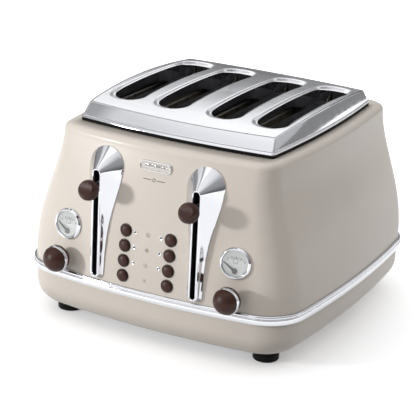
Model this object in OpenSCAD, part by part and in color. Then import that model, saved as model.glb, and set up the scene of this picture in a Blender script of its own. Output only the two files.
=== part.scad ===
// Four-slice pop up toaster: bowed steel body, arched top cover, two independent halves.
// Millimetres. +X is the viewer's right, the controls face -Y, +Z is up, and the feet stand on z = 0.
// The origin is the middle of the footprint, knobs included, so the body's own centre lies at y = body_y.

/* [Body] */
// Y of the body's centre, which sets the origin midway between the lever knobs and the rear
body_y = 11; // [9:0.5:13]
// Half width of the upper shell just above the trim band
body_half_w = 142.4; // [138:0.2:150]
// Half depth of the upper shell just above the trim band
body_half_d = 149.8; // [146:0.2:156]
// Plan radius of the bowed front and rear walls
front_bow_r = 700; // [600:10:900]
// Plan radius of the bowed side walls
side_bow_r = 1042; // [900:10:1400]
// Plan corner radius at the bottom of the upper shell
corner_r = 40; // [34:1:46]
// Plan corner radius at the rim
rim_corner_r = 20; // [14:1:24]
// Height at which the upper shell starts to lean in
shell_z = 46.6; // [44:0.2:50]
// Height of the rim, where the wall rolls inwards
rim_z = 180; // [176:0.2:181]
// How far each side wall leans in up to the rim
side_lean = 26.7; // [22:0.1:28]
// How far the front and rear walls lean in up to the rim
front_lean = 16.9; // [14:0.1:18]
// Radius of the rolled rim
rim_roll = 5.8; // [5:0.2:6]
// Sheet thickness of the painted shells
wall = 1.2; // [1:0.1:1.4]

/* [Base] */
// Height of the joint between base and upper shell, hidden by the band
joint_z = 50.8; // [49:0.2:52]
// How far the base sits in from the upper shell
base_step = 1; // [0.6:0.1:1.6]
// Radius of the base's rounded lower edge
base_round = 22.5; // [18:0.5:24]
// Height of the underside of the base
base_z = 10.5; // [9:0.5:12]
// Height of the trim band
band_h = 8.6; // [7:0.2:10]
// How far the trim band stands out from the upper shell
band_out = 2.6; // [2:0.1:3.2]
// Radius of each foot
foot_r = 12; // [10:0.5:14]
// X of the feet
foot_x = 103.4; // [98:0.2:105]
// Y of the feet from the body's centre
foot_y = 106.3; // [100:0.2:109]

/* [Top cover] */
// Half width of the cover's lower rim
cover_half_w = 103.2; // [101:0.2:105]
// Half depth of the cover's lower rim
cover_half_d = 111.4; // [109:0.2:113]
// Height of the cover's lower rim
cover_z = 188.5; // [188:0.1:189]
// Height of the cover's front edge, where the slope meets the arched top
cover_edge_z = 201.3; // [199:0.1:203]
// How far the front slope leans in up to that edge
cover_front_slope = 9.5; // [8:0.1:11]
// How far the side slope leans in up to that edge
cover_side_slope = 3.2; // [2:0.1:4]
// Rise of the arched top from its front edge to its middle
arch_rise = 5.8; // [4:0.1:7]
// Sheet thickness of the cover
cover_wall = 1; // [0.8:0.1:1.2]

/* [Bread slots] */
// Slot centres of the right half, mirrored on the left
slot_x = [27.3, 73.7];
// Half width of a slot
slot_half_w = 15.1; // [14:0.1:15.5]
// Half length of a slot
slot_half_l = 74.5; // [70:0.5:76]
// Y of the slots' middle from the body's centre
slot_y = 5; // [3:0.5:7]
// Corner radius of a slot
slot_r = 13; // [8:0.5:14]

/* [Levers] */
// X of the levers
lever_x = 50.4; // [49:0.1:52]
// Height of the lever knobs at rest
lever_z = 144.5; // [142:0.5:146]
// Y of the lever knob's centre from the body's centre
lever_knob_y = -165.6; // [-168:0.2:-164]
// Radius of the lever knob
lever_knob_r = 9.35; // [8.5:0.05:10]
// Y of the escutcheon's straight ridge from the body's centre
ridge_y = -153; // [-154:0.2:-152]
// Radius of the escutcheon's disc end
disc_r = 17.8; // [14:0.2:18]
// Height of the centre of that disc end
disc_z = 159.4; // [157:0.2:162]
// Width of the lever slot
lever_gap = 5.6; // [5:0.1:6.5]

/* [Controls] */
// X of the gauges, on the front face
dial_x = 85.5; // [84:0.1:87]
// Height of the gauges
gauge_z = 98.5; // [97:0.5:100]
// Radius of the gauge bezel
gauge_r = 14.8; // [13:0.1:15]
// X of the browning knobs, whose shafts run straight back
knob_x = 87.4; // [86:0.1:88]
// Height of the browning knobs' axis
knob_z = 69.4; // [68.2:0.2:71]
// Radius of the browning knob's ball
knob_r = 12.4; // [11.6:0.1:12.6]
// Distance of the ball's centre from the front face
knob_reach = 14.2; // [14:0.1:16]
// X of the push buttons
button_x = 22.8; // [22:0.1:24]
// Heights of the push buttons
button_z = [65, 79, 93, 107];
// Radius of a push button
button_r = 5.25; // [5:0.05:5.3]
// X of the indicator lights
light_x = 13; // [12:0.1:14]

/* [Hidden] */
left = -1;
right = 1;
$fn = 48;

cream = "#d9cdb9";
chrome = "#c9ccd0";
steel = "#8f9296";
brown = "#4a2a1c";
black = "#1d1d1f";
mica = "#b9ad92";

// front edge of the arched top, and the barrel that it is cut from
edge_half_d = cover_half_d - cover_front_slope;
barrel_r = (edge_half_d * edge_half_d + arch_rise * arch_rise) / (2 * arch_rise);
crown_z = cover_edge_z + arch_rise;
shoulder_z = rim_z + rim_roll;
band_top = shell_z + band_h + 1;
lip_z = 190;

// inner chamber
front_wall_y = -92;
rear_wall_y = 96;
sheet = 1;
card_x = [9.6, 50.5, 91.6];
card_z0 = 50;
card_z1 = 176;
rack_z = 126;
guide_offset = 12.9;
guide_wire_r = 0.8;
guide_top_z = 174;
rod_x = 62;
rod_y = -108;
rod_r = 3;
spring_x = 38;
shelf_z = 176;
tray_z = 16;
tray_x = [10.5, 94];
base_start_z = base_z + base_round;

function smooth(t) = t * t * (3 - 2 * t);
function lean(z) = max(0, min(1, (z - shell_z) / (rim_z - shell_z)));
function half_w(z) = body_half_w - side_lean * smooth(pow(lean(z), 1.3));
function half_d(z) = body_half_d - front_lean * pow(lean(z), 1.7);
function corner_at(z) =
    corner_r + (rim_corner_r - corner_r) * max(0, min(1, (z - band_top) / (rim_z - band_top)));
function arc(c, r, a, b, n) = [for (i = [0:n]) c + r * [cos(a + (b - a) * i / n), sin(a + (b - a) * i / n)]];
function but_last(v) = [for (i = [0:len(v) - 2]) v[i]];
function reversed(v) = [for (i = [len(v) - 1:-1:0]) v[i]];

// One quarter of a rectangle with bowed sides, from the middle of the front to the middle of the right side.
function bowed_quarter(w, d, r) =
    let (
        a = [0, front_bow_r - d],
        b = [w - side_bow_r, 0],
        gap = norm(b - a),
        u = (b - a) / gap,
        ra = front_bow_r - r,
        rb = side_bow_r - r,
        along = (ra * ra - rb * rb + gap * gap) / (2 * gap),
        off = sqrt(max(ra * ra - along * along, 0)),
        c = a + along * u + off * [-u[1], u[0]],
        at_front = atan2(c[1] - a[1], c[0] - a[0]),
        at_side = atan2(c[1] - b[1], c[0] - b[0])
    )
    concat(
        but_last(arc(a, front_bow_r, -90, at_front, 4)),
        but_last(arc(c, r, at_front, at_side, 6)),
        arc(b, side_bow_r, at_side, 0, 4)
    );

// The whole outline at height z, anticlockwise.
function bowed(w, d, r, z) =
    let (q = bowed_quarter(w, d, r), h = but_last(q), k = reversed([for (i = [1:len(q) - 1]) q[i]]))
    concat(
        [for (p = h) [p[0], p[1], z]], [for (p = k) [p[0], -p[1], z]],
        [for (p = h) [-p[0], -p[1], z]], [for (p = k) [-p[0], p[1], z]]
    );

function body_ring(z, inset) = bowed(half_w(z) - inset, half_d(z) - inset, corner_at(z) - inset, z);
function rim_ring(r, a) =
    let (inset = rim_roll - r * cos(a))
    bowed(half_w(rim_z) - inset, half_d(rim_z) - inset, rim_corner_r - inset, rim_z + r * sin(a));
function base_ring(a, inset) =
    let (r = base_round - inset, in = base_step + base_round - r * cos(a))
    bowed(body_half_w - in, body_half_d - in, corner_r - in, base_start_z - r * sin(a));

// Y and lean of the front face at a point, from the body's centre.
function face_y(x, z) = front_bow_r - half_d(z) - sqrt(front_bow_r * front_bow_r - x * x);
function face_lean(z) = atan(front_lean * 1.7 * pow(lean(z), 0.7) / (rim_z - shell_z));
function face_turn(x) = asin(x / front_bow_r);

function loft_sides(m, n, wrap) = [
    for (j = [0:m - (wrap ? 1 : 2)], i = [0:n - 1])
        let (a = j * n + i, b = j * n + (i + 1) % n, up = (j + 1) % m * n, c = up + (i + 1) % n, d = up + i)
        each [[a, c, b], [a, d, c]]
];

// A hoop whose cross-section runs through all the rings and back to the first.
module hoop(rings) {
    n = len(rings[0]);
    polyhedron(points = [for (r = rings) each r], faces = loft_sides(len(rings), n, true));
}

// A solid that runs through the rings from bottom to top.
module lofted(rings) {
    n = len(rings[0]);
    top = (len(rings) - 1) * n;
    polyhedron(
        points = [for (r = rings) each r],
        faces = concat(
            loft_sides(len(rings), n, false),
            [[for (i = [0:n - 1]) i]],
            [[for (i = [n - 1:-1:0]) top + i]]
        )
    );
}

module in_place() translate([0, body_y, 0]) children();

// Puts children on the front face: their +Z is the outward normal and their +Y points up the face.
module on_face(x, z) {
    translate([x, face_y(x, z), z]) rotate([90 - face_lean(z), 0, face_turn(x)]) children();
}

// The same spot, but pointing straight forwards.
module straight_on(x, z) translate([x, face_y(x, z), z]) rotate([90, 0, 0]) children();

module box(low, high) translate(low) cube(high - low);

// A box on the right half, or its mirror image on the left.
module half_box(side, low, high) mirror([side == left ? 1 : 0, 0, 0]) box(low, high);

module rounded_bar(half_w, half_l, r, h) {
    linear_extrude(h) {
        square([2 * half_w - 2 * r, 2 * half_l], center = true);
        square([2 * half_w, 2 * half_l - 2 * r], center = true);
        for (x = [r - half_w, half_w - r], y = [r - half_l, half_l - r])
            translate([x, y]) circle(r);
    }
}

module at_slots() for (side = [left, right], x = slot_x) translate([side * x, slot_y, 0]) children();

// ---- outer shells ----

module body_solid() lofted([for (i = [0:12]) body_ring(joint_z + (rim_z - joint_z) * i / 12, 0)]);

module upper_shell() color(cream) in_place() difference() {
    hoop(concat(
        [for (i = [0:12]) body_ring(joint_z + (rim_z - joint_z) * i / 12, 0)],
        [for (a = [18:18:90]) rim_ring(rim_roll, a)],
        [bowed(cover_half_w - 3, cover_half_d - 3, 6, shoulder_z)],
        [bowed(cover_half_w - 3, cover_half_d - 3, 6, shoulder_z - wall)],
        [for (a = [90:-18:18]) rim_ring(rim_roll - wall, a)],
        [for (i = [12:-1:0]) body_ring(joint_z + (rim_z - joint_z) * i / 12, wall)]
    ));
    for (side = [left, right]) {
        translate([side * lever_x, 0, 0]) box([-3.5, -160, 60], [3.5, -120, 160]);
        on_face(side * dial_x, gauge_z) cylinder(h = 12, r = 13, center = true);
        straight_on(side * knob_x, knob_z) cylinder(h = 12, r = 4.5, center = true);
        for (z = button_z) on_face(side * button_x, z) cylinder(h = 12, r = 6.1, center = true);
        for (i = [1:3]) on_face(side * light_x, button_z[i]) cylinder(h = 12, r = 1.8, center = true);
    }
}

module base_solid() lofted(concat(
    [for (a = [90:-15:0]) base_ring(a, 0)],
    [bowed(body_half_w - base_step, body_half_d - base_step, corner_r - base_step, joint_z - 0.2)]
));

module base_hoop() hoop(concat(
    [for (a = [90:-15:0]) base_ring(a, 0)],
    [bowed(body_half_w - base_step, body_half_d - base_step, corner_r - base_step, joint_z - 0.2)],
    [let (in = base_step + wall) bowed(body_half_w - in, body_half_d - in, corner_r - in, joint_z - 0.2)],
    [for (a = [0:15:90]) base_ring(a, wall)]
));

module tray_window(side, play) half_box(
    side, [tray_x[0] - 1 + play, 120, tray_z - 1 + play], [tray_x[1] + 1 - play, 160, tray_z + 10 - play]
);

module base_shell() color(cream) in_place() difference() {
    base_hoop();
    for (side = [left, right]) tray_window(side, 0);
    translate([0, 0, 32]) rotate([-90, 0, 0]) cylinder(h = 160, r = 6.2);
}

module trim_band() color(chrome) in_place() hoop([
    for (p = [[0.15, 0], [band_out - 0.7, 0], [band_out, 0.9], [band_out, 5.2], [band_out - 0.9, 7.6],
              [0.9, band_h], [0.15, band_h]])
        bowed(body_half_w + p[0], body_half_d + p[0], corner_r + p[0], shell_z + p[1])
]);

module barrel(r) translate([-130, 0, crown_z - barrel_r]) rotate([0, 90, 0]) cylinder(h = 260, r = r, $fn = 240);

module cover_body(inset) {
    rise = cover_edge_z - cover_z;
    intersection() {
        lofted([
            for (h = [inset > 0 ? -2 : 0, 24])
                bowed(
                    cover_half_w - inset - cover_side_slope * h / rise,
                    cover_half_d - inset - cover_front_slope * h / rise, 2, cover_z + h
                )
        ]);
        barrel(barrel_r - inset);
    }
}

module top_cover() color(chrome) in_place() difference() {
    cover_body(0);
    difference() {
        cover_body(cover_wall);
        at_slots() translate([0, 0, lip_z]) rounded_bar(slot_half_w + 1, slot_half_l + 1, slot_r + 1, 30);
    }
    at_slots() translate([0, 0, 150]) rounded_bar(slot_half_w, slot_half_l, slot_r, 80);
}

module top_seal() color(black) in_place() hoop([
    for (p = [[1.6, 0], [0.2, 0], [0.2, cover_z - shoulder_z], [1.6, cover_z - shoulder_z]])
        bowed(cover_half_w - p[0], cover_half_d - p[0], 3, shoulder_z + p[1])
]);

module slot_liners() color(steel) in_place() at_slots() translate([0, 0, 177]) difference() {
    rounded_bar(slot_half_w + 0.8, slot_half_l + 0.8, slot_r + 0.8, lip_z - 177);
    translate([0, 0, -1]) rounded_bar(slot_half_w, slot_half_l, slot_r, 30);
}

// ---- underside ----

plate_half_w = body_half_w - base_step - base_round - wall;
plate_half_d = body_half_d - base_step - base_round - wall;

module base_plate() color(steel) in_place() difference() {
    lofted([for (h = [0, 1.5]) bowed(plate_half_w, plate_half_d, 14, base_z + h)]);
    for (side = [left, right], y = [-60:20:60]) translate([side * 52, y, base_z - 1])
        rounded_bar(30, 2.5, 2.4, 4);
    for (x = [-foot_x, foot_x], y = [-foot_y, foot_y]) translate([x, y, 0]) cylinder(h = 30, r = 3.1);
}

module foot(sx, sy) color(black) in_place() translate([sx * foot_x, sy * foot_y, 0]) {
    cylinder(h = 2, r1 = foot_r - 1, r2 = foot_r);
    translate([0, 0, 2]) cylinder(h = base_z - 2, r = foot_r);
    translate([0, 0, base_z]) cylinder(h = 5, r = 3);
}
module foot_front_left() foot(-1, -1);
module foot_front_right() foot(1, -1);
module foot_rear_left() foot(-1, 1);
module foot_rear_right() foot(1, 1);

module base_screws() color(steel) in_place() for (x = [-60, 0, 60], y = [-96, 96]) {
    translate([x, y, base_z - 1.6]) difference() {
        cylinder(h = 1.6, r = 3.4);
        translate([-2.6, -0.4, -1]) cube([5.2, 0.8, 1.7]);
        translate([-0.4, -2.6, -1]) cube([0.8, 5.2, 1.7]);
    }
}

module crumb_tray(side) color(steel) in_place() {
    intersection() {
        base_solid();
        union() {
            half_box(side, [tray_x[0], -88, tray_z], [tray_x[1], 150, tray_z + 1]);
            half_box(side, [tray_x[0], -88, tray_z + 1], [tray_x[0] + 1, 150, tray_z + 7]);
            half_box(side, [tray_x[1] - 1, -88, tray_z + 1], [tray_x[1], 150, tray_z + 7]);
            half_box(side, [tray_x[0] + 1, -88, tray_z + 1], [tray_x[1] - 1, -87, tray_z + 7]);
        }
    }
    intersection() {
        base_hoop();
        tray_window(side, 0.5);
    }
    half_box(side, [37, 136, tray_z + 3], [67, 147, tray_z + 5]);
}
module crumb_tray_left() crumb_tray(left);
module crumb_tray_right() crumb_tray(right);

module cord_gland() color(black) in_place() translate([0, 0, 32]) rotate([-90, 0, 0]) difference() {
    union() {
        translate([0, 0, 139]) cylinder(h = 10, r = 6.1);
        translate([0, 0, body_half_d - base_step + 0.1]) cylinder(h = 2.3, r = 9);
    }
    cylinder(h = 170, r = 3.6);
}

// ---- levers ----

module lever_escutcheon(side) color(chrome) in_place() difference() {
    hull() {
        on_face(side * lever_x, disc_z) cylinder(h = 1.4, r = disc_r, $fn = 32);
        on_face(side * lever_x, 65) cylinder(h = 1.4, r = 7, $fn = 32);
        translate([side * lever_x, ridge_y + 4.2, 61]) cylinder(h = 98, r = 4.2, $fn = 32);
    }
    body_solid();
    translate([side * lever_x, 0, 0]) box([-lever_gap / 2, -160, 61.5], [lever_gap / 2, -120, 158.5]);
}
module lever_escutcheon_left() lever_escutcheon(left);
module lever_escutcheon_right() lever_escutcheon(right);

module turned_knob(r) rotate_extrude($fn = 64) difference() {
    union() {
        circle(r);
        translate([0, -r - 1]) square([0.45 * r, r]);
    }
    translate([-2 * r, -2 * r]) square([2 * r, 4 * r]);
    translate([0, -r - 2]) square([2.55, r]);
}

module lever_knob(side) color(brown) in_place()
    translate([side * lever_x, lever_knob_y, lever_z]) rotate([90, 0, 0]) turned_knob(lever_knob_r);
module lever_knob_left() lever_knob(left);
module lever_knob_right() lever_knob(right);

module carriage(side) color(steel) in_place() {
    arm_front = lever_knob_y + lever_knob_r + 1.2;
    half_box(side, [lever_x - 1.2, arm_front, lever_z - 4], [lever_x + 1.2, -101, lever_z + 4]);
    translate([side * lever_x, arm_front, lever_z]) rotate([90, 0, 0]) cylinder(h = 8, r = 2.5);
    difference() {
        union() {
            half_box(side, [20, -101, 118], [81, -99, 151]);
            translate([side * rod_x, rod_y, 126]) cylinder(h = 24, r = 5.5);
            half_box(side, [rod_x - 2, rod_y + 4, 126], [rod_x + 2, -101, 150]);
        }
        translate([side * rod_x, rod_y, 100]) cylinder(h = 80, r = rod_r + 0.06);
    }
    half_box(side, [spring_x - 4, rod_y - 4, 145], [spring_x + 4, -101, 147]);
    half_box(side, [lever_x - 8, rod_y - 5, 116], [lever_x + 8, -99, 118]);
    for (x = slot_x) half_box(side, [x - 1, -99, 118], [x + 1, -72, rack_z - 1.2]);
}
module carriage_left() carriage(left);
module carriage_right() carriage(right);

module bread_rack(side) color(steel) in_place() for (x = slot_x) difference() {
    union() {
        half_box(side, [x - 4.5, -70, rack_z - 1.2], [x + 4.5, 72, rack_z]);
        half_box(side, [x - 1, -72, rack_z - 8], [x + 1, 72, rack_z - 1.2]);
    }
    for (y = [-60:24:60], dx = [-3, 3]) half_box(
        side, [x + dx - 0.9, y, rack_z - 2], [x + dx + 0.9, y + 14, rack_z + 1]
    );
}
module bread_rack_left() bread_rack(left);
module bread_rack_right() bread_rack(right);

module lift_spring(side) color(steel) in_place() translate([side * spring_x, rod_y, 147]) {
    coils = 10;
    pitch = (shelf_z - 147) / coils;
    rotate_extrude() polygon(concat(
        [for (i = [0:coils - 1]) each [[3.2, i * pitch], [4, (i + 0.5) * pitch]]],
        [[3.2, coils * pitch], [2.6, coils * pitch], [2.6, 0]]
    ));
}
module lift_spring_left() lift_spring(left);
module lift_spring_right() lift_spring(right);

module guide_rods() color(chrome) in_place() for (side = [left, right])
    translate([side * rod_x, rod_y, base_z + 1.5]) cylinder(h = shelf_z - base_z - 1.5, r = rod_r);

module latch_magnets() color(steel) in_place() for (side = [left, right]) {
    half_box(side, [lever_x - 9, rod_y - 7, base_z + 1.5], [lever_x + 7, rod_y + 7, 34]);
    translate([side * lever_x, rod_y, 34]) cylinder(h = 6.5, r = 4);
}

// ---- heating chambers ----

module front_bulkhead() color(steel) in_place() difference() {
    union() {
        box([-97, front_wall_y, base_z + 1.5], [97, front_wall_y + sheet, 183]);
        for (side = [left, right]) half_box(side, [30, rod_y - 7, shelf_z], [70, front_wall_y, shelf_z + 1.5]);
    }
    for (side = [left, right], x = slot_x) half_box(side, [x - 2.2, -100, 39], [x + 2.2, -80, 139]);
}

module rear_bulkhead() color(steel) in_place() difference() {
    box([-97, rear_wall_y, base_z + 1.5], [97, rear_wall_y + sheet, 183]);
    for (side = [left, right]) half_box(
        side, [tray_x[0] - 1, 80, 0], [tray_x[1] + 1, 110, tray_z + 12]
    );
}

module heat_shields() color(steel) in_place() for (side = [left, right])
    half_box(side, [97, front_wall_y, tray_z + 12], [98, rear_wall_y + sheet, 183]);

module heater_cards() color(mica) in_place() for (side = [left, right], x = card_x)
    half_box(side, [x - 0.5, front_wall_y + sheet, card_z0], [x + 0.5, rear_wall_y, card_z1]);

module heater_wires() color(chrome) in_place() for (side = [left, right], x = card_x, z = [58:14:170]) {
    if (x > card_x[0]) half_box(side, [x - 0.8, -68, z], [x - 0.5, 78, z + 2]);
    if (x < card_x[2]) half_box(side, [x + 0.5, -68, z], [x + 0.8, 78, z + 2]);
}

module wire(a, b) {
    d = b - a;
    translate(a) rotate([0, acos(d[2] / norm(d)), atan2(d[1], d[0])]) cylinder(h = norm(d), r = guide_wire_r, $fn = 16);
}

// One pair of wire frames, on the same side of both slots of a half, tied by a bar behind the racks.
module bread_guide(side, toward) color(chrome) in_place() {
    outer = toward == right;
    low = outer ? 44 : 48;
    rear = outer ? 78 : 84;
    xs = [for (x = slot_x) side * x - toward * guide_offset];
    for (x = xs) {
        for (y = [-68:24:52]) wire([x, y, low], [x, y, guide_top_z]);
        wire([x, rear, low], [x, rear, guide_top_z]);
        for (z = [low, 100, guide_top_z]) wire([x, -68, z], [x, rear, z]);
    }
    wire([min(xs), rear, low], [max(xs), rear, low]);
}
module bread_guide_left_outer() bread_guide(left, right);
module bread_guide_left_inner() bread_guide(left, left);
module bread_guide_right_inner() bread_guide(right, right);
module bread_guide_right_outer() bread_guide(right, left);

// ---- front controls ----

// Places of the ring and of the ball's flat back, measured forwards from the ball's centre.
ring_from = 0.6;
ring_thick = 3.3;
ring_inner = 9;
ball_back = -2.9;

module browning_knob(side) color(brown) in_place() straight_on(side * knob_x, knob_z) {
    translate([0, 0, knob_reach]) intersection() {
        sphere(knob_r, $fn = 64);
        translate([0, 0, ball_back]) cylinder(h = 30, r = 20);
        union() {
            translate([0, 0, ball_back]) cylinder(h = ring_from - ball_back, r = 20);
            cylinder(h = ring_from + ring_thick + 1, r = ring_inner - 0.05);
            translate([0, 0, ring_from + ring_thick]) cylinder(h = 30, r = 20);
        }
    }
    translate([0, 0, 0.8]) cylinder(h = knob_reach + ball_back - 0.7, r = 4);
    translate([0, 0, -9]) cylinder(h = 10, r = 3);
}
module browning_knob_left() browning_knob(left);
module browning_knob_right() browning_knob(right);

module knob_ring(side) color(chrome) in_place() straight_on(side * knob_x, knob_z) translate([0, 0, knob_reach])
    difference() {
        intersection() {
            sphere(knob_r + 0.1, $fn = 64);
            translate([0, 0, ring_from]) cylinder(h = ring_thick, r = 20);
        }
        cylinder(h = 20, r = ring_inner);
    }
module knob_ring_left() knob_ring(left);
module knob_ring_right() knob_ring(right);

module gauge_bezel(side) color(chrome) in_place() on_face(side * dial_x, gauge_z) rotate_extrude($fn = 64)
    polygon([[12, -8], [12.8, -8], [12.8, 0.7], [gauge_r, 0.7], [gauge_r, 1.6], [gauge_r - 0.9, 3.2],
             [12.9, 3.2], [12.4, 2.6], [12.4, -0.2], [12, -0.2]]);
module gauge_bezel_left() gauge_bezel(left);
module gauge_bezel_right() gauge_bezel(right);

module gauge_dial(side) color("#d8dad6") in_place() on_face(side * dial_x, gauge_z)
    translate([0, 0, -0.2]) cylinder(h = 0.6, r = 12.4);
module gauge_dial_left() gauge_dial(left);
module gauge_dial_right() gauge_dial(right);

needle_drop = 6.7;
needle_rest = 57;

module gauge_needle(side) color(black) in_place() on_face(side * dial_x, gauge_z) translate([0, -needle_drop, 0.7]) {
    cylinder(h = 1.1, r = 2.5);
    rotate([0, 0, needle_rest]) linear_extrude(0.5) polygon([[-1.2, 0], [1.2, 0], [0.25, 13], [-0.25, 13]]);
}
module gauge_needle_left() gauge_needle(left);
module gauge_needle_right() gauge_needle(right);

module gauge_lens(side) color("#dfe8ec80") in_place() on_face(side * dial_x, gauge_z)
    translate([0, 0, 2]) cylinder(h = 0.8, r = 12.4);
module gauge_lens_left() gauge_lens(left);
module gauge_lens_right() gauge_lens(right);

// A domed button with a flat stem end, 11 mm deep behind the face.
module button(side, row) color(brown) in_place() on_face(side * button_x, button_z[row - 1]) {
    dome = 2.2;
    ball_r = (button_r * button_r + dome * dome) / (2 * dome);
    translate([0, 0, -11]) cylinder(h = 13, r = button_r);
    intersection() {
        translate([0, 0, 2 + dome - ball_r]) sphere(ball_r);
        translate([0, 0, 2]) cylinder(h = 5, r = button_r);
    }
}
module button_left_1() button(left, 1);
module button_left_2() button(left, 2);
module button_left_3() button(left, 3);
module button_left_4() button(left, 4);
module button_right_1() button(right, 1);
module button_right_2() button(right, 2);
module button_right_3() button(right, 3);
module button_right_4() button(right, 4);

module button_bezels() color(black) in_place() for (side = [left, right], z = button_z) on_face(side * button_x, z)
    difference() {
        union() {
            translate([0, 0, -4]) cylinder(h = 4.2, r = 6);
            translate([0, 0, 0.1]) cylinder(h = 0.7, r = 6.8);
        }
        translate([0, 0, -5]) cylinder(h = 8, r = button_r + 0.2);
    }

module indicator_lights() color("#c8433a") in_place() for (side = [left, right], i = [1:3])
    on_face(side * light_x, button_z[i]) {
        translate([0, 0, -4]) cylinder(h = 4.1, r = 1.7);
        translate([0, 0, 0.1]) cylinder(h = 0.6, r1 = 1.7, r2 = 1.1);
    }

module control_board() color("#2f6b3c") in_place() {
    box([-38, -129.6, 54], [38, -128, 122]);
    for (side = [left, right], z = button_z) translate([side * button_x, -130.4, z]) cube([6, 1.6, 6], center = true);
    for (side = [left, right]) {
        half_box(side, [8, -128, 60], [30, -120, 76]);
        straight_on(side * knob_x, knob_z) translate([0, 0, -18]) cylinder(h = 8.6, r = 8);
    }
}

module badge() color(chrome) in_place() on_face(0, 168) {
    rounded_bar(16, 4.75, 3, 0.9);
    translate([0, 0, 0.9]) difference() {
        rounded_bar(16, 4.75, 3, 0.9);
        translate([0, 0, -0.1]) rounded_bar(14.8, 3.55, 2.2, 2);
    }
}

upper_shell();
base_shell();
trim_band();
top_cover();
top_seal();
slot_liners();
base_plate();
foot_front_left();
foot_front_right();
foot_rear_left();
foot_rear_right();
base_screws();
lever_escutcheon_left();
lever_escutcheon_right();
lever_knob_left();
lever_knob_right();
carriage_left();
carriage_right();
bread_rack_left();
bread_rack_right();
lift_spring_left();
lift_spring_right();
guide_rods();
latch_magnets();
front_bulkhead();
rear_bulkhead();
heat_shields();
heater_cards();
heater_wires();
bread_guide_left_outer();
bread_guide_left_inner();
bread_guide_right_inner();
bread_guide_right_outer();
browning_knob_left();
browning_knob_right();
knob_ring_left();
knob_ring_right();
gauge_bezel_left();
gauge_bezel_right();
gauge_dial_left();
gauge_dial_right();
gauge_needle_left();
gauge_needle_right();
gauge_lens_left();
gauge_lens_right();
button_left_1();
button_left_2();
button_left_3();
button_left_4();
button_right_1();
button_right_2();
button_right_3();
button_right_4();
button_bezels();
indicator_lights();
control_board();
badge();
cord_gland();
crumb_tray_left();
crumb_tray_right();
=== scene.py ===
"""Looks of a four-slice pop up toaster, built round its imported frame.

Shapes are worked out in millimetres about the middle of the body, with +Z up and the controls facing -Y,
and place() sends each finished piece to its spot in the frame, in metres.
"""

import math

import bmesh
import bpy
from mathutils import Matrix, Vector


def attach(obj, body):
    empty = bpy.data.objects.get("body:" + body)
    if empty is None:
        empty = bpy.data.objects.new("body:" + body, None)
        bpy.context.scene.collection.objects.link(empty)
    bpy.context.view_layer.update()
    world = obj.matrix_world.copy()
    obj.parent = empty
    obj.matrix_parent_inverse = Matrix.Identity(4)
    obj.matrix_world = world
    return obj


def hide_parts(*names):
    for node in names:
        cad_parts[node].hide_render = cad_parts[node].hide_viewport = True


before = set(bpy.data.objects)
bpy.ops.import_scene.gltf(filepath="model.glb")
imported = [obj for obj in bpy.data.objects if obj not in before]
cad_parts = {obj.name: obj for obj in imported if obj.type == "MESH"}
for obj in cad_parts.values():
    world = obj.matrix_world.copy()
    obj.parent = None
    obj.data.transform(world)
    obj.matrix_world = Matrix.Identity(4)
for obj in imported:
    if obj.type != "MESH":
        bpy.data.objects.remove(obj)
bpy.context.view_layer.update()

# ---- driving sizes, in millimetres, as in the frame ----

MM = 0.001
BODY_Y = 11.0  # where the middle of the body lies in the frame
TO_FRAME = Matrix.Translation((0, BODY_Y * MM, 0)) @ Matrix.Scale(MM, 4)
SIDES = {"left": -1, "right": 1}

BODY_HALF_W = 142.4
BODY_HALF_D = 149.8
FRONT_BOW_R = 700
SIDE_BOW_R = 1042
CORNER_R = 40
RIM_CORNER_R = 20
SHELL_Z = 46.6
RIM_Z = 180.0
RIM_ROLL = 5.8
SIDE_LEAN = 26.7
FRONT_LEAN = 16.9
WALL = 1.2
SHOULDER_Z = RIM_Z + RIM_ROLL

JOINT_Z = 50.8
BASE_STEP = 1.0
BASE_ROUND = 22.5
BASE_Z = 10.5
BASE_START_Z = BASE_Z + BASE_ROUND
BAND_H = 8.6
BAND_OUT = 2.6
BAND_TOP = SHELL_Z + BAND_H + 1

COVER_HALF_W = 103.2
COVER_HALF_D = 111.4
COVER_Z = 188.5
COVER_EDGE_Z = 201.3
COVER_RISE = COVER_EDGE_Z - COVER_Z
COVER_FRONT_SLOPE = 9.5
COVER_SIDE_SLOPE = 3.2
COVER_EDGE_D = COVER_HALF_D - COVER_FRONT_SLOPE
ARCH_RISE = 5.8
BARREL_R = (COVER_EDGE_D**2 + ARCH_RISE**2) / (2 * ARCH_RISE)
CROWN_Z = COVER_EDGE_Z + ARCH_RISE
LIP_Z = 190.0

SLOT_XS = (-73.7, -27.3, 27.3, 73.7)
SLOT_HALF_W = 15.1
SLOT_HALF_L = 74.5
SLOT_Y = 5.0
SLOT_R = 13.0

LEVER_X = 50.4
LEVER_WINDOW_HALF = 3.5
LEVER_WINDOW_Z = (60, 160)
TRAY_WINDOW_X = (9.5, 95)
TRAY_WINDOW_Z = (15, 26)
LEVER_Z = 144.5
LEVER_KNOB_Y = -165.6
LEVER_KNOB_R = 9.35
RIDGE_Y = -153.0

DIAL_X = 85.5
GAUGE_Z = 98.5
NEEDLE_DROP = 6.7
NEEDLE_REST = 57
KNOB_X = 87.4
KNOB_Z = 69.4
KNOB_R = 12.4
KNOB_REACH = 14.2
RING_FROM = 0.6
RING_THICK = 3.3
BALL_BACK = -2.9
RING_INNER = 9.0
BUTTON_X = 22.8
BUTTON_ZS = (65, 79, 93, 107)
BUTTON_R = 5.25
LIGHT_X = 13.0
BADGE_Z = 168.0
FOOT_R = 12.0
FOOT_X = 103.4
FOOT_Y = 106.3


# ---- geometry of the body ----


def smooth(t):
    return t * t * (3 - 2 * t)


def clamp(t):
    return max(0.0, min(1.0, t))


def lean(z):
    return clamp((z - SHELL_Z) / (RIM_Z - SHELL_Z))


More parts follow.
